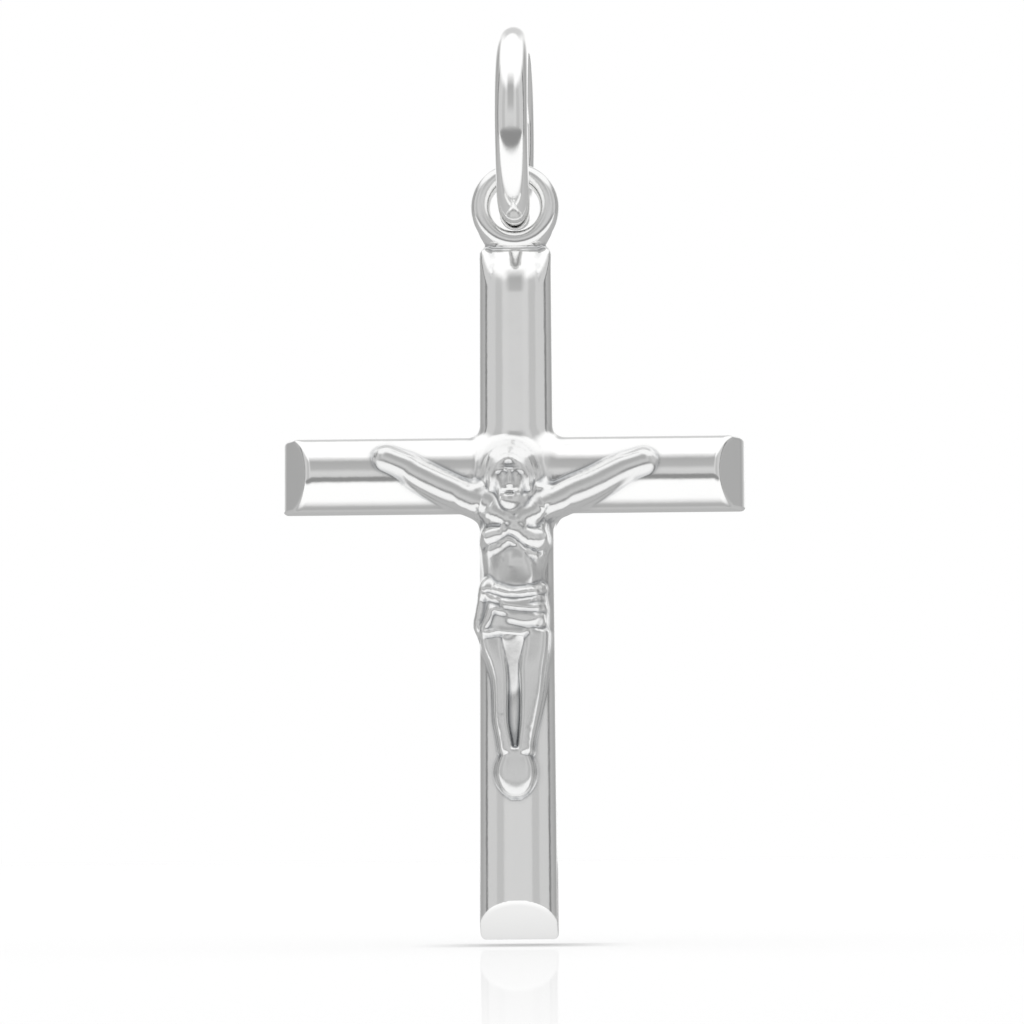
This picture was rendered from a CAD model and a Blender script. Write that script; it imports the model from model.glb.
"""A crucifix pendant in polished silver.

Domed bars are soldered into a cross that carries a corpus in low relief. An eyelet on
its top end hangs in a round bail ring. The crucifix is blocked in from plain bars,
tubes and rings, joined into one skin, and that skin is then smoothed onto the finished
form, which is worked out in millimetres by the functions of form below.
"""

import math
from contextlib import contextmanager
from functools import partial, partialmethod

import bpy
import numpy as np
from bpy.props import FloatProperty, FloatVectorProperty, IntProperty, PointerProperty
from bpy.types import Operator, Panel, PropertyGroup
from mathutils import Matrix, Vector


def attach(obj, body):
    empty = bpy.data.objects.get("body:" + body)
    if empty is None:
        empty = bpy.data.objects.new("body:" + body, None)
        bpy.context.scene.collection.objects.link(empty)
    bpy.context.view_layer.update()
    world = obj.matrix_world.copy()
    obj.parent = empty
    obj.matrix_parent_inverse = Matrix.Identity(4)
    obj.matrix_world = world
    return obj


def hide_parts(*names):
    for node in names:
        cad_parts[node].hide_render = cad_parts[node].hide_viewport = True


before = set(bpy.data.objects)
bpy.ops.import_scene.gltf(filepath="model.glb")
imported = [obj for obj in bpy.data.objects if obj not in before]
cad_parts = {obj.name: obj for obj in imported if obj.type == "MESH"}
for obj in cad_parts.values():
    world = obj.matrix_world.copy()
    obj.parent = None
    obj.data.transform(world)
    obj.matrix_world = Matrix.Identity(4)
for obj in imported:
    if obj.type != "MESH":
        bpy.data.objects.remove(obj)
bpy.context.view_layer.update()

bl_info = {
    "name": "Crucifix Pendant",
    "version": (1, 0, 0),
    "blender": (4, 5, 0),
    "location": "View3D > Sidebar > Pendant",
    "description": "Models a silver crucifix pendant and the studio that it is shown in",
    "category": "Object",
}

MM = 0.001


# Sizes and colours that a user would change

def length(name, description, default):
    """A size in metres, with room to change it on both sides."""
    return FloatProperty(name=name, description=description, default=default, min=0.0,
                         soft_min=default * 0.8, soft_max=default * 1.2, precision=5,
                         unit="LENGTH")


def angle(name, description, degrees):
    return FloatProperty(name=name, description=description, default=math.radians(degrees),
                         subtype="ANGLE")


def factor(name, description, default):
    return FloatProperty(name=name, description=description, default=default, min=0, max=1,
                         subtype="FACTOR")


class PendantBailSizes(PropertyGroup):
    inner_width: length("Inner diameter", "Clear way inside the bail ring", 0.00488)
    wire: length("Wire", "Diameter of the bail ring's wire", 0.00115)
    steps: IntProperty(name="Steps", description="Steps of the spin round the ring",
                       default=160, min=24, max=400)


class PendantCrossSizes(PropertyGroup):
    height: length("Height", "Height of the cross without its eyelet", 0.0242)
    width: length("Width", "Width of the cross over both arms", 0.0162)
    depth: length("Depth", "Depth of both bars, back to crown", 0.002)
    arm_bar: length("Cross bar", "Width of the cross bar", 0.00258)
    upright_top: length("Upright's top", "Width of the upright at its top end", 0.0025)
    upright_foot: length("Upright's foot", "Width of the upright at its foot", 0.0027)
    shoulder: length("Shoulder", "Radius of the bars' shoulders", 0.00045)
    arm_drop: length("Arm drop", "Top end down to the middle line of the arms", 0.00802)
    arm_shift: length("Arm shift", "How far the arms stand to the left", 0.00012)
    end_bevel: length("End bevel", "Slanted face at the upright's foot", 0.00115)
    top_bevel: length("Top bevel", "Slanted face at the upright's top end", 0.00124)
    top_land: length("Top land", "Square edge behind the top end's slanted face", 0.00128)
    arm_bevel: length("Arm bevel", "Slanted face at the arms' ends", 0.00095)
    end_land: length("End land", "Square edge behind each slanted face", 0.0003)
    upper_corner: length("Upper corners", "Radius of the corners over the arms", 0.00042)
    lower_corner: length("Lower corners", "Radius of the corners under the arms", 0.00075)
    arris: length("Arris", "Rounding that polishing leaves on the edges", 0.00009)
    arm_arris: length("Arm arris", "Rounding of the edges at the arms' ends", 0.00015)


class PendantEyeletSizes(PropertyGroup):
    bore: length("Bore", "Diameter of the eyelet's bore", 0.00166)
    wall: length("Wall", "Width of the metal round the bore", 0.00072)
    thickness: length("Thickness", "Thickness from front to back", 0.001)
    foot: length("Foot", "Metal between the bore and the cross", 0.00055)
    foot_width: length("Foot width", "Width of the foot on the cross", 0.0020)
    lean: length("Lean", "How far the foot lies behind the ring's middle", 0.0003)
    gap: length("Gap", "Gap between the bail's wire and the bore's floor", 0.00005)


class PendantCorpusSizes(PropertyGroup):
    height: length("Height", "From the hair to the feet", 0.01245)
    width: length("Width", "Over both hands", 0.00988)
    rise: length("Rise", "Top of the hair over the middle line of the arms", 0.00101)
    relief: length("Relief", "How far the head stands over the bars", 0.00088)
    strand: length("Strand", "Width of a strand of the hair", 0.00013)
    fillet: length("Fillet", "Soft corner between the figure and the bars", 0.00012)
    skin: length("Skin", "Size of the cells of the joined skin", 0.000083)


class PendantSilver(PropertyGroup):
    colour: FloatVectorProperty(name="Silver", description="Colour of the polished silver",
                                default=(0.955, 0.955, 0.95), subtype="COLOR", min=0, max=1)
    recess: FloatVectorProperty(name="Recess", description="Colour of the silver in its recesses",
                                default=(0.46, 0.47, 0.48), subtype="COLOR", min=0, max=1)
    polish: factor("Polish", "Roughness of the polished faces", 0.10)
    satin: factor("Satin", "Roughness of the cast figure", 0.20)


class PendantStudio(PropertyGroup):
    azimuth: angle("Azimuth", "How far round to the right the camera stands", 2.4)
    below: angle("Below", "How far below the middle the camera stands", 6.5)
    roll: angle("Roll", "How far the camera is turned clockwise", 0.3)
    distance: FloatProperty(name="Distance", description="From the camera to its aim",
                            default=0.25, unit="LENGTH")
    aim: FloatVectorProperty(name="Aim", description="Where the camera looks",
                             default=(-0.000162, 0.0, -0.015978), subtype="TRANSLATION", precision=6)
    lens: FloatProperty(name="Lens", description="Focal length in millimetres on a 36 mm sensor",
                        default=252.2, min=50)
    floor_tilt: angle("Floor tilt", "How far the floor falls towards the camera", 4.0)
    gap: length("Floor gap", "How far the pendant hangs over the floor", 0.00017)
    mirror: factor("Floor gloss", "How much the floor mirrors at its best", 0.24)


# Form: every function gives how far a point lies outside a form, in millimetres

def length_of(*parts):
    return np.sqrt(sum(part * part for part in parts))


def unit(vectors):
    return vectors / np.maximum(length_of(*vectors), 1e-9)


def rounded(power, size, *shares):
    """A rounded form of one size, from how far along each half width a point lies."""
    return (sum(share ** power for share in shares) ** (1 / power) - 1) * size


def blend_join(a, b, r):
    """Two forms joined, with an inner corner of radius r between them."""
    return np.maximum(r, np.minimum(a, b)) - length_of(np.maximum(r - a, 0), np.maximum(r - b, 0))


def blend_cut(a, b, r):
    """What two forms share, with an outer edge of radius r."""
    return np.minimum(-r, np.maximum(a, b)) + length_of(np.maximum(r + a, 0), np.maximum(r + b, 0))


def ease(low, high, value):
    """Nought up to the low value and one from the high value, with a soft step between."""
    t = np.clip((value - low) / (high - low), 0, 1)
    return t * t * (3 - 2 * t)


def oval(across, down, middle, half):
    """How far out from an oval's middle a point lies, with one on its edge."""
    return np.hypot((across - middle[0]) / half[0], (down - middle[1]) / half[1])


class InMillimetres:
    """A property group whose sizes read in millimetres."""

    def __init__(self, group):
        self.group = group

    def __getattr__(self, name):
        return getattr(self.group, name) / MM


class Places:
    """The pendant's sizes and main places in millimetres."""

    def __init__(self, scene):
        self.bail = bail = InMillimetres(scene.pendant_bail)
        self.cross = cross = InMillimetres(scene.pendant_cross)
        self.eyelet = eyelet = InMillimetres(scene.pendant_eyelet)
        self.corpus = corpus = InMillimetres(scene.pendant_corpus)
        self.bore_r = eyelet.bore / 2
        self.bore_z = -bail.inner_width - bail.wire - eyelet.gap + self.bore_r
        self.top = self.bore_z - self.bore_r - eyelet.foot
        self.foot = self.top - cross.height
        self.arm_z = self.top - cross.arm_drop
        self.half_depth = cross.depth / 2
        self.left = -cross.width / 2 - cross.arm_shift
        self.right = cross.width / 2 - cross.arm_shift
        self.corpus_top = self.arm_z + corpus.rise


class BarForm:
    """Cross section of the domed bars: flat back, upright sides, round shoulders."""

    crown_share = 1.05

    def __init__(self, shoulder, half_depth):
        self.shoulder, self.half_depth = shoulder, half_depth

    def section(self, across, depth, half):
        dome_r = self.crown_share * half
        crown_y = dome_r - self.half_depth
        corner_x = half - self.shoulder
        corner_y = crown_y - np.sqrt((dome_r - self.shoulder) ** 2 - corner_x ** 2)
        side = np.abs(across)
        dome = np.hypot(side, depth - crown_y) - dome_r
        corner = np.hypot(side - corner_x, depth - corner_y) - self.shoulder
        on_dome = side * (crown_y - corner_y) < (crown_y - depth) * corner_x
        return np.where(on_dome, dome, np.where(depth > corner_y, side - half, corner))

    def fall(self, across, half):
        """How far the dome falls off from its crown, as far as the shoulder."""
        dome_r = self.crown_share * half
        side = np.minimum(np.abs(across), half - self.shoulder)
        return dome_r - np.sqrt(dome_r ** 2 - side ** 2)

    def ended(self, form, depth, beyond, bevel, land, arris, corner=0.2):
        """A bar's form cut by its slanted end face, and by the land behind that."""
        slope = bevel / (2 * self.half_depth - land)
        slant = (beyond + slope * (self.half_depth - land - depth)) / math.hypot(1, slope)
        return blend_cut(blend_cut(form, slant, arris), beyond, corner)


def cross_form(places, x, y, z):
    """The bare cross, its inner corners rounded and its back flat. The top end's slanted
    face follows the dome in part and is worn softer than the others."""
    top_follows_dome, top_arris, top_corner = 0.75, 3, 0.25
    front_corner, back_edge = 0.62, 0.1
    cross = places.cross
    bar = BarForm(cross.shoulder, places.half_depth)
    taper = (cross.upright_top - cross.upright_foot) * (z - places.foot) / cross.height
    half = (cross.upright_foot + taper) / 2
    upright = bar.section(x, y, half)
    upright = bar.ended(upright, y - top_follows_dome * bar.fall(x, half), z - places.top,
                        cross.top_bevel, cross.top_land, top_arris * cross.arris, top_corner)
    upright = bar.ended(upright, y, places.foot - z, cross.end_bevel, cross.end_land, cross.arris)
    arms = bar.section(z - places.arm_z, y, np.full(z.shape, cross.arm_bar / 2))
    for beyond in (places.left - x, x - places.right):
        arms = bar.ended(arms, y, beyond, cross.arm_bevel, cross.end_land, cross.arm_arris)
    upper = ease(-0.6, 0.6, z - places.arm_z)
    corner = cross.lower_corner + (cross.upper_corner - cross.lower_corner) * upper
    behind = ease(-0.7, -0.1, y)
    corner = front_corner + (corner - front_corner) * behind
    return blend_cut(blend_join(upright, arms, corner), y - places.half_depth, back_edge)


def eyelet_form(places, x, y, z):
    """A fat ring with a round section, and a foot that carries it from behind."""
    ring_power, foot_depth = 2.2, 0.36
    under_bore, into_cross = 0.05, 0.7
    foot_corner, bore_edge = 0.28, 0.12
    eyelet = places.eyelet
    around = np.hypot(x, z - places.bore_z)
    wire = np.abs(around - (places.bore_r + eyelet.wall / 2))
    ring = rounded(ring_power, eyelet.wall / 2, wire / (eyelet.wall / 2),
                   np.abs(y) / (eyelet.thickness / 2))
    deep = eyelet.thickness * foot_depth
    share = (np.abs(x) / (eyelet.foot_width / 2)) ** 3.5 + (np.abs(y - eyelet.lean) / deep) ** 2.5
    foot = (np.maximum(share, 1e-9) ** 0.35 - 1) * deep
    foot = blend_cut(foot, z - places.bore_z + places.bore_r + under_bore, 0.15)
    foot = blend_cut(foot, places.top - into_cross - z, 0.1)
    return blend_cut(blend_join(ring, foot, foot_corner), places.bore_r - around, bore_edge)


def inside(box, across, down):
    low_x, high_x, low_z, high_z = box
    return (across > low_x) & (across < high_x) & (down > low_z) & (down < high_z)


class Shape:
    """One form of the figure. Its rows give across, down from the top of the hair, half
    width and rise over the bars' crown. A run follows its rows with round ends, a stack
    is a pile of sections cut square, and an egg has one centre and three radii. The back
    is where its section is widest, as a rise too."""

    end_edge, margin = 0.1, 0.25

    def __init__(self, kind, rows, back=-0.6, full=2.4, blend=0.08, act="add"):
        self.kind, self.back, self.full, self.blend, self.act = kind, back, full, blend, act
        self.rows = np.array(rows, float)
        reach = self.margin + blend
        if kind == "egg":
            across, down, _, a, b, _ = self.rows
            self.box = (across - a - reach, across + a + reach, down - b - reach, down + b + reach)
        else:
            self.rows = self.refine(self.rows)
            low, high = self.rows.min(0), self.rows.max(0)
            side = high[2] + reach
            tall = side if kind == "run" else reach
            self.box = (low[0] - side, high[0] + side, low[1] - tall, high[1] + tall)

    @staticmethod
    def refine(rows, steps=6):
        """The rows with more between them, on a smooth curve."""
        ends = np.vstack([2 * rows[0] - rows[1], rows, 2 * rows[-1] - rows[-2]])
        out = []
        for a, b, c, d in zip(ends[:-3], ends[1:-2], ends[2:-1], ends[3:]):
            for step in range(steps):
                t = step / steps
                out.append(0.5 * (2 * b + (c - a) * t + (2 * a - 5 * b + 4 * c - d) * t ** 2
                                  + (3 * b - a - 3 * c + d) * t ** 3))
        return np.array(out + [rows[-1]])

    def section(self, side, half, rise, height):
        depth = rise - self.back
        return rounded(self.full, np.minimum(half, depth), side / half,
                       np.maximum(height - self.back, 0) / depth)

    def outside(self, across, down, height):
        if self.kind == "egg":
            at, low, rise, a, b, c = self.rows
            return rounded(self.full, min(a, b, c), np.abs(across - at) / a,
                           np.abs(down - low) / b, np.abs(height - rise) / c)
        if self.kind == "stack":
            at, half, rise = (np.interp(down, self.rows[:, 1], self.rows[:, k]) for k in (0, 2, 3))
            form = self.section(np.abs(across - at), half, rise, height)
            ends = np.maximum(self.rows[0, 1] - down, down - self.rows[-1, 1])
            return blend_cut(form, ends, self.end_edge)
        best = np.full(across.shape, np.inf)
        for (x0, z0, h0, r0), (x1, z1, h1, r1) in zip(self.rows[:-1], self.rows[1:]):
            dx, dz = x1 - x0, z1 - z0
            t = np.clip(((across - x0) * dx + (down - z0) * dz) / (dx * dx + dz * dz), 0, 1)
            side = np.hypot(across - x0 - t * dx, down - z0 - t * dz)
            half, rise = h0 + t * (h1 - h0), r0 + t * (r1 - r0)
            best = np.minimum(best, self.section(side, half, rise, height))
        return best


run, stack, egg = (partial(Shape, kind) for kind in ("run", "stack", "egg"))


def groove(rows, rise, half=0.04, deep=0.07, blend=0.03):
    """A fine line that is cut into the figure."""
    return run([(x, z, half, rise + deep) for x, z in rows], rise, 2, blend, "cut")


def ridge(rows, half, rise, back=0.35, blend=0.05):
    """A fine rib or fold of one width and height."""
    return run([(x, z, half, rise) for x, z in rows], back, 2, blend)


TRUNK = [
    stack([(0, 1.9, 0.85, 0.3), (0, 2.36, 1, 0.46), (-0.02, 2.86, 1.12, 0.52),
           (-0.06, 3.42, 1.17, 0.52), (-0.1, 3.96, 1.12, 0.47), (-0.13, 4.56, 1.04, 0.4),
           (-0.12, 5.1, 1.1, 0.4)], full=2.6),
    # Lower chest, the arch of the rib cage and the ribs
    run([(-0.05, 3.16, 0.18, 0.58), (-0.45, 3.24, 0.28, 0.58), (-0.88, 3.4, 0.36, 0.52)], back=0.2,
        blend=0.16),
    run([(0, 3.16, 0.18, 0.58), (0.4, 3.28, 0.28, 0.58), (0.78, 3.42, 0.36, 0.52)], back=0.2,
        blend=0.16),
    ridge([(-1, 3.78), (-0.6, 3.62), (-0.3, 3.44), (-0.19, 3.4)], 0.14, 0.58, 0.4, 0.1),
    ridge([(-0.19, 3.4), (0.1, 3.58), (0.4, 3.8), (0.84, 3.92)], 0.14, 0.58, 0.4, 0.1),
    ridge([(-1.08, 3.12), (-0.8, 3.1), (-0.42, 3.02)], 0.085, 0.63, 0.5, 0.07),
    ridge([(-1.08, 3.5), (-0.75, 3.43), (-0.35, 3.24)], 0.085, 0.635, 0.5, 0.07),
    ridge([(0.34, 3), (0.65, 3.04), (0.96, 3.04)], 0.075, 0.63, 0.5, 0.07),
    ridge([(0.2, 3.16), (0.6, 3.25), (0.98, 3.24)], 0.07, 0.63, 0.5, 0.07),
    ridge([(0.1, 3.28), (0.45, 3.5), (0.92, 3.56)], 0.085, 0.635, 0.5, 0.07),
    # Chest muscles, breastbone and the lines under them
    run([(-1.75, 1.98, 0.4, 0.46), (-1.2, 2.22, 0.42, 0.56), (-0.7, 2.52, 0.38, 0.62),
         (-0.25, 2.8, 0.22, 0.64)], back=0.1, full=2.8, blend=0.1),
    run([(1.55, 2.05, 0.42, 0.46), (1.1, 2.22, 0.42, 0.56), (0.6, 2.52, 0.38, 0.62),
         (0.2, 2.8, 0.22, 0.64)], back=0.1, full=2.8, blend=0.1),
    run([(0, 2.2, 0.45, 0.6), (0, 2.9, 0.28, 0.64), (-0.02, 3.22, 0.14, 0.62)], back=0.1, full=2.8,
        blend=0.14),
    groove([(-1.33, 2.35), (-1.09, 2.84), (-0.95, 2.94), (-0.51, 2.96)], 0.58, 0.05, 0.07),
    groove([(1.12, 2.33), (0.95, 2.77), (0.74, 2.98), (0.46, 3)], 0.58, 0.05, 0.07),
    groove([(-1.03, 3.73), (-0.6, 3.55), (-0.3, 3.35), (-0.19, 3.31), (0.1, 3.48), (0.35, 3.7),
            (0.72, 3.84)], 0.58, 0.045, 0.06),
    # Belly
    run([(0.06, 4.2, 0.44, 0.575), (0.1, 4.6, 0.56, 0.515), (0.1, 4.92, 0.46, 0.467)], back=0.15,
        full=3.4, blend=0.1),
]

CLOTH = [
    stack([(-0.1, 5.02, 1.1, 0.47), (-0.1, 5.56, 1.19, 0.53), (-0.12, 6.06, 1.24, 0.55),
           (-0.14, 6.45, 1.25, 0.55), (-0.14, 6.74, 1.22, 0.54)], full=2.8, blend=0.06),
    # Folds
    ridge([(-0.98, 4.94), (-0.8, 5.1), (-0.17, 5.32), (0.6, 5.24), (0.92, 5.1)], 0.165, 0.67, 0.4, 0.08),
    ridge([(-0.92, 5.42), (-0.5, 5.57), (-0.05, 5.62), (0.5, 5.58), (0.86, 5.48)], 0.085, 0.635, 0.45,
          0.07),
    ridge([(-0.4, 5.74), (0, 5.8), (0.5, 5.83), (0.95, 5.8)], 0.145, 0.68, 0.42, 0.08),
    ridge([(-0.86, 5.8), (-0.4, 5.98), (0.1, 6.07), (0.92, 6.1)], 0.085, 0.635, 0.45, 0.07),
    ridge([(-0.2, 6.2), (0.3, 6.3), (0.92, 6.32)], 0.115, 0.635, 0.45, 0.09),
    # Knot, its hanging end and the hem
    run([(-1, 4.92, 0.18, 0.46), (-1.1, 5.12, 0.21, 0.5), (-1.16, 5.36, 0.18, 0.44)], back=-0.2,
        blend=0.12),
    run([(-1.2, 5.5, 0.14, 0.32), (-1.29, 6.06, 0.16, 0.34), (-1.34, 6.4, 0.16, 0.32),
         (-1.24, 6.72, 0.12, 0.26)], back=-0.2),
    ridge([(-0.86, 5.92), (-0.98, 6.24), (-1.1, 6.48)], 0.11, 0.625, 0.42, 0.09),
    groove([(-0.46, 6.62), (-0.33, 6.59), (-0.18, 6.62)], 0.55, 0.035, 0.05),
    ridge([(-1.12, 6.7), (-0.8, 6.68), (-0.45, 6.66), (0, 6.7), (0.25, 6.74)], 0.085, 0.59, 0.4, 0.08),
]

# Left leg, right leg, the strip between them and the feet
LEGS = [
    stack([(-0.84, 6.55, 0.46, 0.38), (-0.78, 7.2, 0.42, 0.45), (-0.62, 7.81, 0.34, 0.48),
           (-0.53, 8.46, 0.28, 0.47), (-0.52, 9.66, 0.25, 0.42), (-0.42, 10.3, 0.24, 0.39),
           (-0.32, 10.9, 0.25, 0.36)], back=-0.2, full=3.4, blend=0.05),
    stack([(0.7, 6.55, 0.47, 0.46), (0.66, 7.2, 0.48, 0.5), (0.56, 7.85, 0.48, 0.53),
           (0.52, 8.76, 0.41, 0.5), (0.44, 9.6, 0.33, 0.45), (0.32, 10.4, 0.27, 0.4),
           (0.28, 10.9, 0.28, 0.37)], back=-0.2, full=3.4, blend=0.05),
    stack([(-0.08, 6.6, 0.52, 0.55), (-0.08, 7.2, 0.44, 0.42), (-0.1, 7.9, 0.36, 0.28),
           (-0.11, 8.46, 0.27, 0.17), (-0.1, 9.1, 0.25, 0.04), (-0.07, 10, 0.23, -0.08),
           (-0.04, 10.6, 0.18, -0.12)], back=-0.5, full=4, blend=0.04),
    stack([(-0.03, 10.66, 0.36, 0.34), (-0.04, 11.15, 0.6, 0.36), (-0.05, 11.5, 0.66, 0.37),
           (-0.04, 11.85, 0.6, 0.37), (-0.03, 12.15, 0.44, 0.33), (-0.03, 12.36, 0.22, 0.25)],
          back=-0.1, full=3.6, blend=0.05),
]

ARMS = [
    run([(-4.5, 0.52, 0.43, 0.2), (-4.1, 0.68, 0.43, 0.23), (-3.7, 0.86, 0.46, 0.27),
         (-3.4, 1.08, 0.5, 0.31), (-2.53, 1.52, 0.54, 0.39), (-1.8, 1.84, 0.52, 0.46),
         (-1.1, 2.16, 0.46, 0.5)], back=-0.25),
    run([(4.45, 0.7, 0.45, 0.2), (4.05, 0.83, 0.45, 0.23), (3.6, 1, 0.49, 0.27),
         (2.7, 1.46, 0.54, 0.38), (2, 1.75, 0.55, 0.44), (1.3, 2.04, 0.5, 0.5), (0.9, 2.25, 0.46, 0.5)],
        back=-0.25),
]

FACE_AXIS = -0.17
SKULL = egg((-0.2, 1.06, -0.2, 0.94, 1.06, 0.96), full=2.2, blend=0.1)
HEAD = [
    # Shoulders' slopes and the neck
    run([(-1.3, 1.66, 0.3, 0.34), (-0.8, 1.86, 0.38, 0.42), (-0.15, 2.16, 0.42, 0.46)], back=-0.4,
        full=2.2, blend=0.16),
    run([(1, 1.66, 0.3, 0.34), (0.5, 1.86, 0.38, 0.42), (-0.15, 2.16, 0.42, 0.46)], back=-0.4, full=2.2,
        blend=0.16),
    run([(FACE_AXIS, 1.6, 0.66, 0.3), (-0.1, 2.1, 0.8, 0.36)], back=-0.4, full=2.2, blend=0.2),
    SKULL,
    # Hair at the sides, face, hair over the brow and beard
    run([(-0.8, 0.6, 0.2, 0.36), (-0.94, 1.05, 0.22, 0.38), (-1.08, 1.45, 0.18, 0.3),
         (-1.3, 1.64, 0.07, 0.14)], back=-0.4, blend=0.12),
    run([(0.42, 0.6, 0.2, 0.36), (0.56, 1.05, 0.22, 0.38), (0.68, 1.45, 0.18, 0.3),
         (0.86, 1.62, 0.07, 0.14)], back=-0.4, blend=0.12),
    egg((FACE_AXIS, 1.42, 0.1, 0.56, 0.94, 0.68), full=2.3, blend=0.06),
    run([(-0.22, 0.64, 0.17, 0.775), (-0.5, 0.8, 0.17, 0.76), (-0.74, 1.15, 0.16, 0.66),
         (-0.8, 1.62, 0.12, 0.52)], back=0.2, blend=0.1),
    run([(-0.2, 0.64, 0.17, 0.775), (0.1, 0.8, 0.17, 0.76), (0.36, 1.15, 0.16, 0.66),
         (0.44, 1.62, 0.12, 0.52)], back=0.2, blend=0.1),
    egg((FACE_AXIS, 2.02, 0.2, 0.42, 0.46, 0.54), full=2.2),
]

SIDES = (-1, 1)
FACE = [
    # Sockets, eyes and brows
    *[egg((FACE_AXIS + 0.225 * side, 1.17, 0.84, 0.155, 0.095, 0.1), 0, 2, 0.06, "cut")
      for side in SIDES],
    *[egg((FACE_AXIS + 0.215 * side, 1.185, 0.7, 0.11, 0.062, 0.085), 0, 2, 0.02)
      for side in SIDES],
    *[ridge([(FACE_AXIS + 0.4 * side, 1.09), (FACE_AXIS + 0.24 * side, 1.01),
             (FACE_AXIS + 0.08 * side, 1.06)], 0.05, 0.83, 0.68, 0.04) for side in SIDES],
    # Nose, nostrils, moustache, lower lip and mouth
    run([(FACE_AXIS, 1.06, 0.06, 0.84), (FACE_AXIS, 1.38, 0.075, 0.92),
         (FACE_AXIS, 1.56, 0.105, 0.97)], back=0.6, full=2, blend=0.05),
    *[egg((FACE_AXIS + 0.095 * side, 1.59, 0.8, 0.06, 0.05, 0.08), 0, 2, 0.03)
      for side in SIDES],
    *[ridge([(FACE_AXIS + 0.04 * side, 1.72), (FACE_AXIS + 0.18 * side, 1.76),
             (FACE_AXIS + 0.3 * side, 1.9)], 0.055, 0.84, 0.65, 0.03) for side in SIDES],
    ridge([(FACE_AXIS - 0.08, 1.88), (FACE_AXIS + 0.08, 1.88)], 0.06, 0.8, 0.65, 0.05),
    groove([(FACE_AXIS - 0.14, 1.81), (FACE_AXIS + 0.14, 1.81)], 0.8, 0.03, 0.04, 0.02),
]

FIGURE = TRUNK + CLOTH + LEGS + ARMS + HEAD + FACE


class Figure:
    """The corpus, placed on the cross from its named sizes."""

    drawn_height, drawn_width, drawn_relief = 12.45, 9.88, 0.88
    hair_box = (-1.5, 1.2, -0.2, 2.7)
    hair_rise, beard_rise, halo_rise = 0.006, 0.007, 0.22
    # How far behind the bars' middle the skin still counts as the figure's
    back = 0.3

    def __init__(self, places):
        self.places = places
        corpus = places.corpus
        self.tall = corpus.height / self.drawn_height
        self.wide = corpus.width / self.drawn_width
        self.proud = corpus.relief / self.drawn_relief
        self.strand, self.fillet = corpus.strand, corpus.fillet

    def local(self, x, y, z):
        """Across, down and rise of a point in the figure's own measures."""
        return (x / self.wide, (self.places.corpus_top - z) / self.tall,
                (-self.places.half_depth - y) / self.proud)

    def strands(self, across, down, height):
        """Fine locks combed down both sides of the head, and the beard's waves."""
        round_head = oval(across, down, (FACE_AXIS, 1.35), (0.92, 1.25))
        hair = ease(0.60, 0.72, round_head) * ease(1.95, 1.5, down) * ease(1.25, 1.1, round_head)
        comb = np.sin(2 * math.pi * round_head / self.strand + 1.5 * np.sin(3 * down))
        beard = ease(1.84, 1.98, down) * ease(2.4, 2.2, down)
        beard = beard * ease(0.46, 0.34, np.abs(across - FACE_AXIS))
        curl = across - FACE_AXIS + 0.03 * np.sin(9 * down)
        wave = np.sin(2 * math.pi * curl / (0.8 * self.strand))
        return (self.hair_rise * hair * comb + self.beard_rise * beard * wave) * (height > 0.1)

    def outside(self, x, y, z):
        across, down, height = self.local(x, y, z)
        form = np.full(x.shape, 1.0)
        for shape in FIGURE:
            near = inside(shape.box, across, down)
            if not near.any():
                continue
            own = shape.outside(across[near], down[near], height[near])
            if shape.act == "cut":
                form[near] = blend_cut(form[near], -own, shape.blend)
            else:
                form[near] = blend_join(form[near], own, shape.blend)
        near = inside(self.hair_box, across, down)
        form[near] -= self.strands(across[near], down[near], height[near])
        return form

    def halo(self, x, z):
        """The softer corner that runs round the head."""
        across, down, _ = self.local(x, 0, z)
        near = oval(across, down, (-0.2, 0.9), (1.35, 1.35))
        return self.fillet + self.halo_rise * ease(1.25, 0.95, near)


def crucifix_form(places, figure, points):
    """The finished crucifix: cross, eyelet and corpus, soldered and polished into one."""
    eyelet_depth, solder = 1.5, 0.12
    figure_back, figure_half_width, over_hair, down_to_feet = 0.4, 5.8, 1, 13.6
    x, y, z = points
    form = cross_form(places, x, y, z)
    up = z > places.top - eyelet_depth
    form[up] = blend_join(form[up], eyelet_form(places, x[up], y[up], z[up]), solder)
    front = (z < places.corpus_top + over_hair) & (z > places.corpus_top - down_to_feet)
    front = front & (y < figure_back) & (np.abs(x) < figure_half_width)
    own = figure.outside(x[front], y[front], z[front])
    form[front] = blend_join(form[front], own, figure.halo(x[front], z[front]))
    return form


def slope_of(form, points, step=0.004):
    """Value and slope of a form at points, from four corners round each."""
    corners = ((1, -1, -1), (-1, -1, 1), (-1, 1, -1), (1, 1, 1))
    value, slope = 0, np.zeros(points.shape)
    for corner in corners:
        offset = np.array(corner, float)[:, None]
        found = form(points + step * offset)
        value = value + found / 4
        slope += offset * found / (4 * step)
    return value, slope


def press_onto(form, points, turns=3, most=0.12):
    """Moves points onto the form's surface, and gives its normals there."""
    for _ in range(turns):
        value, slope = slope_of(form, points)
        size = np.maximum((slope ** 2).sum(0), 0.05)
        move = value * slope / size
        reach = np.maximum(length_of(*move), 1e-9)
        points = points - move * np.minimum(1, most / reach)
    return points, unit(slope)


def read(items, name, width=3, kind=float):
    """What a mesh's vertices, edges or faces say under a name, a row for each number."""
    values = np.empty(len(items) * width, kind)
    items.foreach_get(name, values)
    return values.reshape(-1, width).T


def write_points(mesh, points):
    mesh.vertices.foreach_set("co", points.T.ravel())
    mesh.update()


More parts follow.
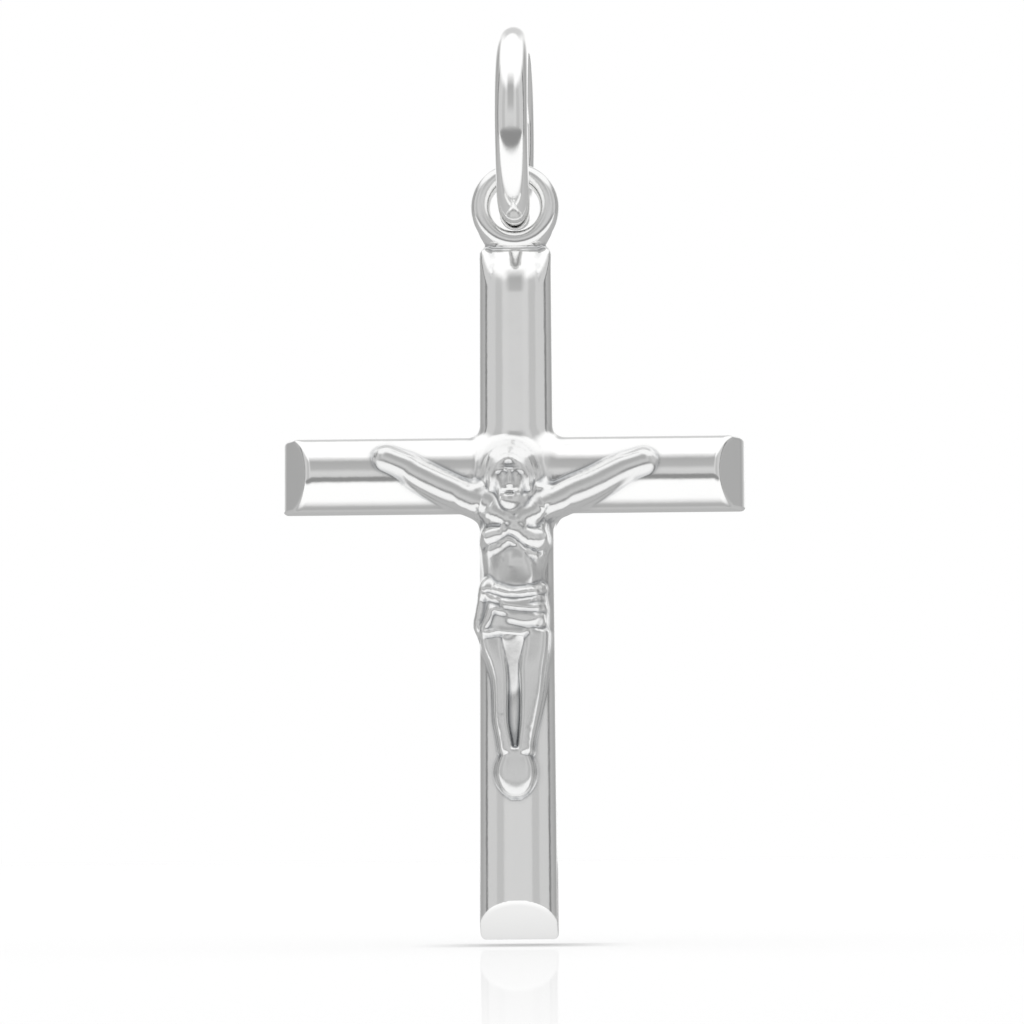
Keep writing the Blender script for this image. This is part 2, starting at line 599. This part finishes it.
def skin_of(mesh):
    """A mesh's points, both ends of its edges, and how many edges meet at each point."""
    a, b = read(mesh.edges, "vertices", 2, int)
    count = len(mesh.vertices)
    links = np.bincount(a, minlength=count) + np.bincount(b, minlength=count)
    return read(mesh.vertices, "co").copy(), a, b, links


def neighbours(points, a, b, links):
    """The middle of every point's neighbours."""
    count = len(links)
    sums = [np.bincount(a, c[b], count) + np.bincount(b, c[a], count) for c in points]
    return np.array(sums) / links


def smooth_skin(piece, form, turns, pull=0.6):
    """Evens out a skin's cells and presses them onto the finished form, as by a sculptor's
    smoothing brush."""
    points, a, b, links = skin_of(piece.data)
    points, normals = press_onto(form, points, 3)
    for _ in range(turns):
        move = neighbours(points, a, b, links) - points
        move -= (move * normals).sum(0) * normals
        points, normals = press_onto(form, points + pull * move, 1)
    points, _ = press_onto(form, points, 2)
    write_points(piece.data, points)


# Modelling steps

def take(*pieces):
    """Selects these objects only, the first of them as the active one."""
    if bpy.context.object and bpy.context.object.mode != "OBJECT":
        bpy.ops.object.mode_set(mode="OBJECT")
    bpy.ops.object.select_all(action="DESELECT")
    for piece in pieces:
        piece.select_set(True)
    if pieces:
        bpy.context.view_layer.objects.active = pieces[0]


def settled(name):
    """The active object, its place, turn and scale applied, renamed with its mesh."""
    bpy.ops.object.transform_apply(location=True, rotation=True, scale=True)
    piece = bpy.context.object
    piece.name = piece.data.name = name
    return piece


@contextmanager
def editing():
    """Edit mode with all of the mesh selected, and back to object mode."""
    bpy.ops.object.mode_set(mode="EDIT")
    bpy.ops.mesh.select_all(action="SELECT")
    yield
    bpy.ops.object.mode_set(mode="OBJECT")


def choose(piece, mode, test):
    """In edit mode, selects the vertices or edges whose middle passes the test."""
    bpy.ops.mesh.select_mode(type=mode)
    bpy.ops.mesh.select_all(action="DESELECT")
    bpy.ops.object.mode_set(mode="OBJECT")
    points = piece.data.vertices
    if mode == "VERT":
        for point in points:
            point.select = bool(test(point.co))
    else:
        for edge in piece.data.edges:
            a, b = edge.vertices
            edge.select = bool(test((points[a].co + points[b].co) / 2))
    bpy.ops.object.mode_set(mode="EDIT")


def to_metres(piece):
    """Ends the modelling in millimetres, with the object at the origin and unscaled."""
    take(piece)
    piece.scale = (MM, MM, MM)
    bpy.ops.object.transform_apply(location=True, rotation=True, scale=True)


def block_bar(name, low, high, end_scale, cuts):
    """A bar from a cube: front edges rounded, one end narrowed, ends cut on the slant."""
    near, front_edge = 0.01, 0.62
    middle = [(a + b) / 2 for a, b in zip(low, high)]
    size = [b - a for a, b in zip(low, high)]
    take()
    bpy.ops.mesh.primitive_cube_add(size=1, location=middle, scale=size)
    piece = settled(name)
    along = 0 if size[0] > size[2] else 2
    with editing():
        choose(piece, "EDGE",
               lambda at: at.y < low[1] + near and abs(at[along] - middle[along]) < near)
        bpy.ops.mesh.bevel(offset=front_edge, segments=5, affect="EDGES")
        if end_scale != 1:
            choose(piece, "VERT", lambda at: at[along] > high[along] - near)
            bpy.ops.transform.resize(value=(end_scale, 1, 1),
                                     center_override=(middle[0], middle[1], high[2]))
        for place, normal in cuts:
            bpy.ops.mesh.select_all(action="SELECT")
            bpy.ops.mesh.bisect(plane_co=place, plane_no=normal, use_fill=True, clear_outer=True)
    return piece


def block_tube(name, rows, back, level=False, sides=20):
    """A tube from a circle, extruded and resized from row to row. It runs down, or
    sideways where it is level."""
    def place(row):
        return Vector((row[0], (row[3] + back) / 2, row[1]))

    def sized(row):
        deep = abs(row[3] - back) / 2
        return Vector((1, deep, row[2])) if level else Vector((row[2], deep, 1))

    take()
    turn = (0, math.pi / 2, 0) if level else (0, 0, 0)
    bpy.ops.mesh.primitive_circle_add(vertices=sides, radius=1, fill_type="NGON",
                                      location=place(rows[0]), rotation=turn)
    piece = settled(name)
    with editing():
        bpy.ops.transform.resize(value=sized(rows[0]), center_override=place(rows[0]))
        for before, row in zip(rows[:-1], rows[1:]):
            bpy.ops.mesh.extrude_region_move(
                TRANSFORM_OT_translate={"value": place(row) - place(before)})
            ratio = [b / a for a, b in zip(sized(before), sized(row))]
            bpy.ops.transform.resize(value=ratio, center_override=place(row))
        bpy.ops.mesh.select_all(action="SELECT")
        bpy.ops.mesh.normals_make_consistent(inside=False)
    return piece


def block_eyelet(places):
    """A ring from a torus, and a bar from under its bore into the cross as its foot."""
    under_bore, into_cross = 0.12, 0.7
    eyelet = places.eyelet
    middle = (0, 0, places.bore_z)
    half = eyelet.wall / 2
    take()
    bpy.ops.mesh.primitive_torus_add(
        major_segments=64, minor_segments=16, major_radius=places.bore_r + half,
        minor_radius=half, location=middle, rotation=(math.pi / 2, 0, 0))
    ring = settled("eyelet_ring")
    with editing():
        bpy.ops.transform.resize(value=(1, eyelet.thickness / eyelet.wall, 1),
                                 center_override=middle)
    low = (-eyelet.foot_width / 2, eyelet.lean - eyelet.thickness / 2, places.top - into_cross)
    high = (eyelet.foot_width / 2, eyelet.lean + eyelet.thickness / 4,
            places.bore_z - places.bore_r - under_bore)
    return [ring, block_bar("eyelet_foot", low, high, 1, [])]


def block_cross(places):
    """Both bars with their ends cut."""
    cross, deep = places.cross, places.half_depth
    edge = deep - cross.end_land
    slope, arm_slope = (bevel / (deep + edge) for bevel in (cross.end_bevel, cross.arm_bevel))
    half = cross.upright_foot / 2
    upright = block_bar("upright", (-half, -deep, places.foot), (half, deep, places.top),
                        cross.upright_top / cross.upright_foot,
                        [((0, edge, places.top), (0, -slope, 1)),
                         ((0, edge, places.foot), (0, -slope, -1))])
    low, high = places.arm_z - cross.arm_bar / 2, places.arm_z + cross.arm_bar / 2
    arms = block_bar("cross_bar", (places.left, -deep, low), (places.right, deep, high), 1,
                     [((places.left, edge, places.arm_z), (-1, -arm_slope, 0)),
                      ((places.right, edge, places.arm_z), (1, -arm_slope, 0))])
    return [upright, arms]


def block_figure(figure):
    """The figure's large forms as tubes: trunk, cloth, legs, feet, arms and head."""
    places = figure.places

    def rows_of(shape, keep=3):
        rows = shape.rows[::keep]
        return [(x * figure.wide, places.corpus_top - down * figure.tall, half,
                 -places.half_depth - rise * figure.proud) for x, down, half, rise in rows]

    upright = {"trunk": TRUNK[0], "cloth": CLOTH[0], "left_leg": LEGS[0], "right_leg": LEGS[1],
               "feet": LEGS[-1]}
    pieces = [block_tube(name, rows_of(shape), back=0.1) for name, shape in upright.items()]
    for name, shape in zip(("left_arm", "right_arm"), ARMS):
        pieces.append(block_tube(name, rows_of(shape), back=0, level=True))
    across, down, rise, a, b, c = SKULL.rows
    take()
    bpy.ops.mesh.primitive_uv_sphere_add(
        segments=32, ring_count=20, radius=1,
        location=(across, -places.half_depth - rise, places.corpus_top - down), scale=(a, c, b))
    head = settled("head")
    face, chin = 1.5, (0.06, 0, -0.3)
    with editing():
        choose(head, "VERT", lambda at: at.z < places.corpus_top - face)
        bpy.ops.transform.translate(value=chin)
    return pieces + [head]


# Shading

class Shade:
    """A socket of a node tree that shader maths can be written with."""

    def __init__(self, tree, socket):
        self.tree, self.socket = tree, socket

    def math(self, operation, *others, swap=False):
        node = self.tree.nodes.new("ShaderNodeMath")
        node.operation = operation
        terms = (*others, self) if swap else (self, *others)
        for socket, term in zip(node.inputs, terms):
            feed(self.tree, socket, term)
        return Shade(self.tree, node.outputs[0])

    __add__ = __radd__ = partialmethod(math, "ADD")
    __mul__ = __rmul__ = partialmethod(math, "MULTIPLY")
    __sub__ = partialmethod(math, "SUBTRACT")
    __rsub__ = partialmethod(math, "SUBTRACT", swap=True)
    __truediv__ = partialmethod(math, "DIVIDE")
    __neg__ = partialmethod(math, "MULTIPLY", -1)


def feed(tree, socket, value):
    if isinstance(value, Shade):
        tree.links.new(value.socket, socket)
    elif value is not None:
        socket.default_value = value


GENERATED, OBJECT = 0, 3


class NodeBench:
    """Builds the node tree of a material or of the world."""

    def __init__(self, tree):
        self.tree = tree
        tree.nodes.clear()

    def node(self, kind, values=None, settings=None, output=0):
        node = self.tree.nodes.new("ShaderNode" + kind)
        for name, setting in (settings or {}).items():
            setattr(node, name, setting)
        for name, value in (values or {}).items():
            feed(self.tree, node.inputs[name], value)
        return Shade(self.tree, node.outputs[output]) if len(node.outputs) else None

    def ramp(self, value, start, *stops):
        """Light that changes with a value: its level at nought, then places and levels."""
        shade = self.node("ValToRGB", {"Fac": value})
        elements = shade.socket.node.color_ramp.elements
        elements.remove(elements[-1])
        elements[0].color = (start, start, start, 1)
        for place, level in stops:
            elements.new(place).color = (level, level, level, 1)
        return shade

    def texture(self, place, scale, detail):
        return self.node("TexNoise", {"Vector": place, "Scale": scale, "Detail": detail})

    def note(self, name):
        """What the mesh's attribute of this name says."""
        return self.node("Attribute", None, {"attribute_name": name}, 2)

    def place(self, output):
        return self.node("TexCoord", output=output)

    def diffuse(self, level):
        return self.node("BsdfDiffuse", {"Color": (level, level, level, 1)})

    def over(self, factor, below, above):
        """Mixes two shaders."""
        return self.node("MixShader", {0: factor, 1: below, 2: above})

    def kind_of_ray(self, name):
        node = self.node("LightPath").socket.node
        return Shade(self.tree, node.outputs[name])

    def ease(self, low, high, value):
        """Nought up to the low value and one from the high value, with a soft step between."""
        return self.node("MapRange", {"Value": value, "From Min": low, "From Max": high},
                         {"interpolation_type": "SMOOTHSTEP"})

    def mix(self, factor, a, b):
        """Mixes two numbers."""
        return self.node("Mix", {0: factor, 2: a, 3: b}, {"data_type": "FLOAT"})

    def mix_colour(self, factor, a, b):
        return self.node("Mix", {0: factor, 6: a, 7: b}, {"data_type": "RGBA"}, 2)

    def parts(self, vector):
        """The three numbers of a vector."""
        first = self.node("SeparateXYZ", {0: vector})
        return [Shade(self.tree, socket) for socket in first.socket.node.outputs]


def seen(level, thrown_back=0.95):
    """Light that shows as a grey level, from 11 to 255, once silver has thrown it back."""
    return ((level / 255 + 0.055) / 1.055) ** 2.4 / thrown_back


def new_material(name):
    material = bpy.data.materials.new(name)
    material.use_nodes = True
    return material, NodeBench(material.node_tree)


def silver(name, settings, cast):
    """Polished silver with fine polishing marks. Where it is cast, its skin is uneven and
    as satin as the mesh's satin attribute says, with a little tarnish in its recesses."""
    material, bench = new_material(name)
    place = bench.place(OBJECT)
    cloud = bench.texture(place, scale=900, detail=4)
    stretched = bench.node("Mapping", {"Vector": place, "Scale": (9, 9, 1.2)})
    hairline = bench.texture(stretched, scale=2200, detail=3)
    rough = settings.polish + 0.05 * bench.ease(0.42, 0.72, cloud)
    rough = rough + 0.03 * bench.ease(0.5, 0.75, hairline)
    colour = (*settings.colour, 1)
    if cast:
        satin = bench.note("satin")
        rough = rough + (settings.satin - settings.polish) * satin
        hollow = bench.note("hollow")
        colour = bench.mix_colour(0.18 * satin + 0.82 * hollow, colour, (*settings.recess, 1))
    grain = bench.node("Bump", {"Strength": 0.10, "Distance": 0.00001, "Height": hairline})
    skin = bench.node("Bump", {"Strength": 0.3 if cast else 0.05, "Distance": 0.00003,
                               "Height": cloud, "Normal": grain})
    shader = bench.node("BsdfPrincipled", {"Base Color": colour, "Metallic": 1.0,
                                           "Roughness": rough, "Normal": skin})
    bench.node("OutputMaterial", {"Surface": shader})
    return material


def floor_paper(settings, contact):
    """Pale glossy paper that mirrors a little near the pendant's foot, with the soft
    contact shadow under it. What the silver sees of it is white near the pendant, dark
    where the camera's stand is, and grey further out and behind."""
    material, bench = new_material("floor_paper")
    x, y, _ = bench.parts(bench.place(OBJECT))
    away = contact - y
    gloss = bench.node("BsdfGlossy", {"Color": (1, 1, 1, 1), "Roughness": 0.02})
    mirroring = bench.ease(0.16, 0.0, away) * settings.mirror
    paper = bench.over(mirroring, bench.diffuse(0.93), gloss)
    span = 0.8

    def fade(value, middle, core, edge):
        return bench.ease(edge, core, (value - middle).math("ABSOLUTE"))

    def out(metres, level):
        return 0.5 + metres / span, seen(level)

    shadow = fade(x, middle=0.0002, core=0.0004, edge=0.0041)
    shadow = shadow * fade(away, middle=0.001, core=0.0015, edge=0.0050)
    paper = bench.over(0.45 * shadow, paper, bench.diffuse(0.30))

    lit = bench.ramp(away / span + 0.5, seen(168), out(-0.03, 182), out(-0.009, 190),
                     out(-0.0055, 165), out(-0.003, 180), out(-0.0006, 210), out(0.0008, 246),
                     out(0.004, 255), out(0.040, 255), out(0.060, 140), out(0.16, 140),
                     out(0.32, 172), (1.0, seen(188)))
    glow = bench.node("Emission", {"Color": lit, "Strength": 1.0})
    shader = bench.over(bench.kind_of_ray("Is Glossy Ray"), paper, glow)
    bench.node("OutputMaterial", {"Surface": shader})
    return material


def studio_world():
    """White tent. The silver sees grey in front and at the sides of it and white above and
    behind. Matt paper and the camera see even white."""
    white, far_white, backdrop = 1.08, 1.05, 1.0
    world = bpy.data.worlds.new("white_tent")
    bpy.context.scene.world = world
    world.use_nodes = True
    bench = NodeBench(world.node_tree)
    x, y, z = bench.parts(bench.place(GENERATED))
    side = x.math("ABSOLUTE")
    height = z.math("ARCTAN2", -y) / (2 * math.pi) + 0.5
    turn = side.math("ARCTAN2", -y) / math.pi

    def up(degrees, light):
        return degrees / 360 + 0.5, light

    def aside(degrees, level):
        return degrees / 180, seen(level)

    above = bench.ramp(height, far_white, up(-30, far_white), up(-20, seen(196)),
                       up(5, seen(209)), up(9, seen(205)), up(18, seen(178)), up(40, seen(170)),
                       up(59, white), up(122, white), up(128, seen(205)), up(145, seen(210)),
                       up(155, far_white), (1.0, far_white))
    around = bench.ramp(turn, seen(211), aside(38, 207), aside(43, 189), aside(61, 189),
                        aside(65, 202), aside(96, 202), aside(99, 125), aside(105, 130),
                        aside(108, 180), aside(132, 160), aside(146, 195),
                        (154 / 180, far_white), (1.0, far_white))
    around = bench.mix(bench.ease(0.50, 0.68, z), around, white)
    light = bench.mix(bench.ease(0.22, 0.5, side), above, around)
    light = bench.mix(bench.ease(0.78, 0.88, z), light, white)
    light = bench.mix(bench.kind_of_ray("Is Diffuse Ray"), light, white)
    light = bench.mix(bench.kind_of_ray("Is Camera Ray"), light, backdrop)
    shader = bench.node("Background", {"Color": light, "Strength": 1.0})
    bench.node("OutputWorld", {"Surface": shader})


# Operators

class PENDANT_OT_bail_ring(Operator):
    """Spin a wire into the round bail ring"""

    bl_idname = "pendant.bail_ring"
    bl_label = "Bail Ring"

    def execute(self, context):
        doubles = 0.002
        bail = Places(context.scene).bail
        middle = -bail.inner_width / 2
        radius = (bail.inner_width + bail.wire) / 2
        take()
        bpy.ops.mesh.primitive_circle_add(vertices=56, radius=bail.wire / 2,
                                          location=(0, 0, middle + radius),
                                          rotation=(math.pi / 2, 0, 0))
        ring = settled("bail_ring_silver")
        with editing():
            bpy.ops.mesh.spin(steps=context.scene.pendant_bail.steps, angle=2 * math.pi,
                              center=(0, 0, middle), axis=(1, 0, 0))
            bpy.ops.mesh.select_all(action="SELECT")
            bpy.ops.mesh.remove_doubles(threshold=doubles)
            bpy.ops.mesh.normals_make_consistent(inside=False)
        bpy.ops.object.shade_smooth()
        to_metres(ring)
        ring.data.materials.append(silver("bail_silver", context.scene.pendant_silver, False))
        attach(ring, "bail")
        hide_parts("bail_ring")
        return {"FINISHED"}


class PENDANT_OT_crucifix(Operator):
    """Block in the cross, eyelet and corpus, join them and smooth them onto their form"""

    bl_idname = "pendant.crucifix"
    bl_label = "Crucifix"

    def execute(self, context):
        scene = context.scene
        places = Places(scene)
        figure = Figure(places)
        take(*block_cross(places), *block_eyelet(places), *block_figure(figure))
        bpy.ops.object.join()
        piece = bpy.context.object
        piece.name = piece.data.name = "crucifix_silver"
        remesh = piece.modifiers.new("skin", "REMESH")
        remesh.mode = "VOXEL"
        remesh.voxel_size = places.corpus.skin
        remesh.use_smooth_shade = True
        bpy.ops.object.modifier_apply(modifier=remesh.name)
        form = partial(crucifix_form, places, figure)
        smooth_skin(piece, form, 6)
        self.refine(piece, figure)
        smooth_skin(piece, form, 4)
        normals = self.polish(piece, form, figure)
        with editing():
            bpy.ops.mesh.quads_convert_to_tris(quad_method="SHORTEST_DIAGONAL")
        bpy.ops.object.shade_smooth()
        to_metres(piece)
        self.finish(piece, places, figure)
        piece.data.normals_split_custom_set_from_vertices(normals.T)
        piece.data.materials.append(silver("crucifix_silver", scene.pendant_silver, True))
        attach(piece, "pendant")
        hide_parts("crucifix")
        return {"FINISHED"}

    @staticmethod
    def refine(piece, figure):
        """Halves the cells on the figure, where its detail needs them."""
        reach, front = 0.19, -0.2
        mesh = piece.data
        x, y, z = read(mesh.polygons, "center")
        chosen = (figure.outside(x, y, z) < reach) & (y < front)
        for items in (mesh.vertices, mesh.edges):
            items.foreach_set("select", np.zeros(len(items), bool))
        mesh.polygons.foreach_set("select", chosen)
        bpy.context.scene.tool_settings.mesh_select_mode = (False, False, True)
        bpy.ops.object.mode_set(mode="EDIT")
        bpy.ops.mesh.subdivide(number_cuts=1)
        bpy.ops.object.mode_set(mode="OBJECT")

    @staticmethod
    def polish(piece, form, figure, turns=9, face_turns=4, rub=0.6):
        """Rounds the figure's creases, as polishing does, the face's for fewer turns, and
        gives the skin's normals."""
        mesh = piece.data
        points, a, b, links = skin_of(mesh)
        x, y, z = points
        worn = ease(0.10, 0.03, figure.outside(x, y, z)) * (y < figure.back)
        across, down, _ = figure.local(x, y, z)
        face = ease(1.25, 1.0, oval(across, down, (FACE_AXIS, 1.5), (0.62, 0.85)))
        for turn in range(turns):
            share = rub * worn * (1 if turn < face_turns else 1 - face)
            points = points + share * (neighbours(points, a, b, links) - points)
        write_points(mesh, points)
        plain = unit(slope_of(form, points)[1])
        return unit(plain + worn * (read(mesh.vertices, "normal") - plain))

    @staticmethod
    def finish(piece, places, figure):
        """Notes on every vertex how satin its cast skin is, the figure most and the bars
        least, and how much tarnish is left in its hollow."""
        points, a, b, links = skin_of(piece.data)
        points = points / MM
        x, y, z = points
        satin = ease(0.30, 0.04, figure.outside(x, y, z)) * (y < figure.back)
        satin = np.maximum(satin, 0.6 * ease(places.top - 0.4, places.top + 0.2, z))
        square = ((points[:, a] - points[:, b]) ** 2).sum(0)
        square = (np.bincount(a, square, len(links)) + np.bincount(b, square, len(links))) / links
        sunk = neighbours(points, a, b, links) - points
        hollow = (sunk * read(piece.data.vertices, "normal")).sum(0)
        hollow = ease(0.8, 5.0, 4 * hollow / square) * (y < figure.back)
        hollow = neighbours(hollow[None], a, b, links)[0]
        for name, values in (("satin", satin), ("hollow", hollow)):
            layer = piece.data.attributes.new(name, "FLOAT", "POINT")
            layer.data.foreach_set("value", values)


class PENDANT_OT_studio(Operator):
    """Set up the pale floor, the white tent that lights it and the camera"""

    bl_idname = "pendant.studio"
    bl_label = "Studio"

    def execute(self, context):
        studio = context.scene.pendant_studio
        places = Places(context.scene)
        sin, cos = math.sin(studio.azimuth), math.cos(studio.azimuth)
        level = math.cos(studio.below)
        ahead = Vector((-sin * level, cos * level, math.sin(studio.below)))
        right = Vector((cos, sin, 0))
        up = right.cross(ahead)
        turned = right * math.cos(studio.roll) - up * math.sin(studio.roll)
        upward = up * math.cos(studio.roll) + right * math.sin(studio.roll)
        take()
        bpy.ops.object.camera_add()
        camera = bpy.context.object
        camera.name = "studio_camera"
        axes = Matrix((turned, upward, -ahead)).transposed().to_4x4()
        stand = Vector(studio.aim) - ahead * studio.distance
        camera.matrix_world = Matrix.Translation(stand) @ axes
        camera.data.lens = studio.lens
        camera.data.sensor_width = 36
        camera.data.clip_start = 0.01
        context.scene.camera = camera
        contact = places.half_depth * MM
        bpy.ops.mesh.primitive_circle_add(vertices=96, radius=0.6, fill_type="NGON",
                                          location=(0, contact, places.foot * MM - studio.gap),
                                          rotation=(studio.floor_tilt, 0, 0))
        floor = settled("floor")
        floor.data.materials.append(floor_paper(studio, contact))
        studio_world()
        context.scene.view_settings.view_transform = "Standard"
        return {"FINISHED"}


STEPS = (PENDANT_OT_bail_ring, PENDANT_OT_crucifix, PENDANT_OT_studio)


class PENDANT_PT_sidebar(Panel):
    bl_idname = "PENDANT_PT_sidebar"
    bl_label = "Crucifix Pendant"
    bl_space_type = "VIEW_3D"
    bl_region_type = "UI"
    bl_category = "Pendant"

    def draw(self, context):
        layout = self.layout
        for step in STEPS:
            layout.operator(step.bl_idname)
        for name in GROUPS:
            box = layout.box()
            group = getattr(context.scene, name)
            for key in group.bl_rna.properties.keys():
                if key not in ("rna_type", "name"):
                    box.prop(group, key)


GROUPS = {
    "pendant_bail": PendantBailSizes,
    "pendant_cross": PendantCrossSizes,
    "pendant_eyelet": PendantEyeletSizes,
    "pendant_corpus": PendantCorpusSizes,
    "pendant_silver": PendantSilver,
    "pendant_studio": PendantStudio,
}
CLASSES = (*GROUPS.values(), *STEPS, PENDANT_PT_sidebar)


def register():
    for item in CLASSES:
        bpy.utils.register_class(item)
    for name, group in GROUPS.items():
        setattr(bpy.types.Scene, name, PointerProperty(type=group))


def unregister():
    for name in GROUPS:
        delattr(bpy.types.Scene, name)
    for item in reversed(CLASSES):
        bpy.utils.unregister_class(item)


def main():
    register()
    bpy.ops.pendant.bail_ring()
    bpy.ops.pendant.crucifix()
    bpy.ops.pendant.studio()


if __name__ == "__main__":
    main()
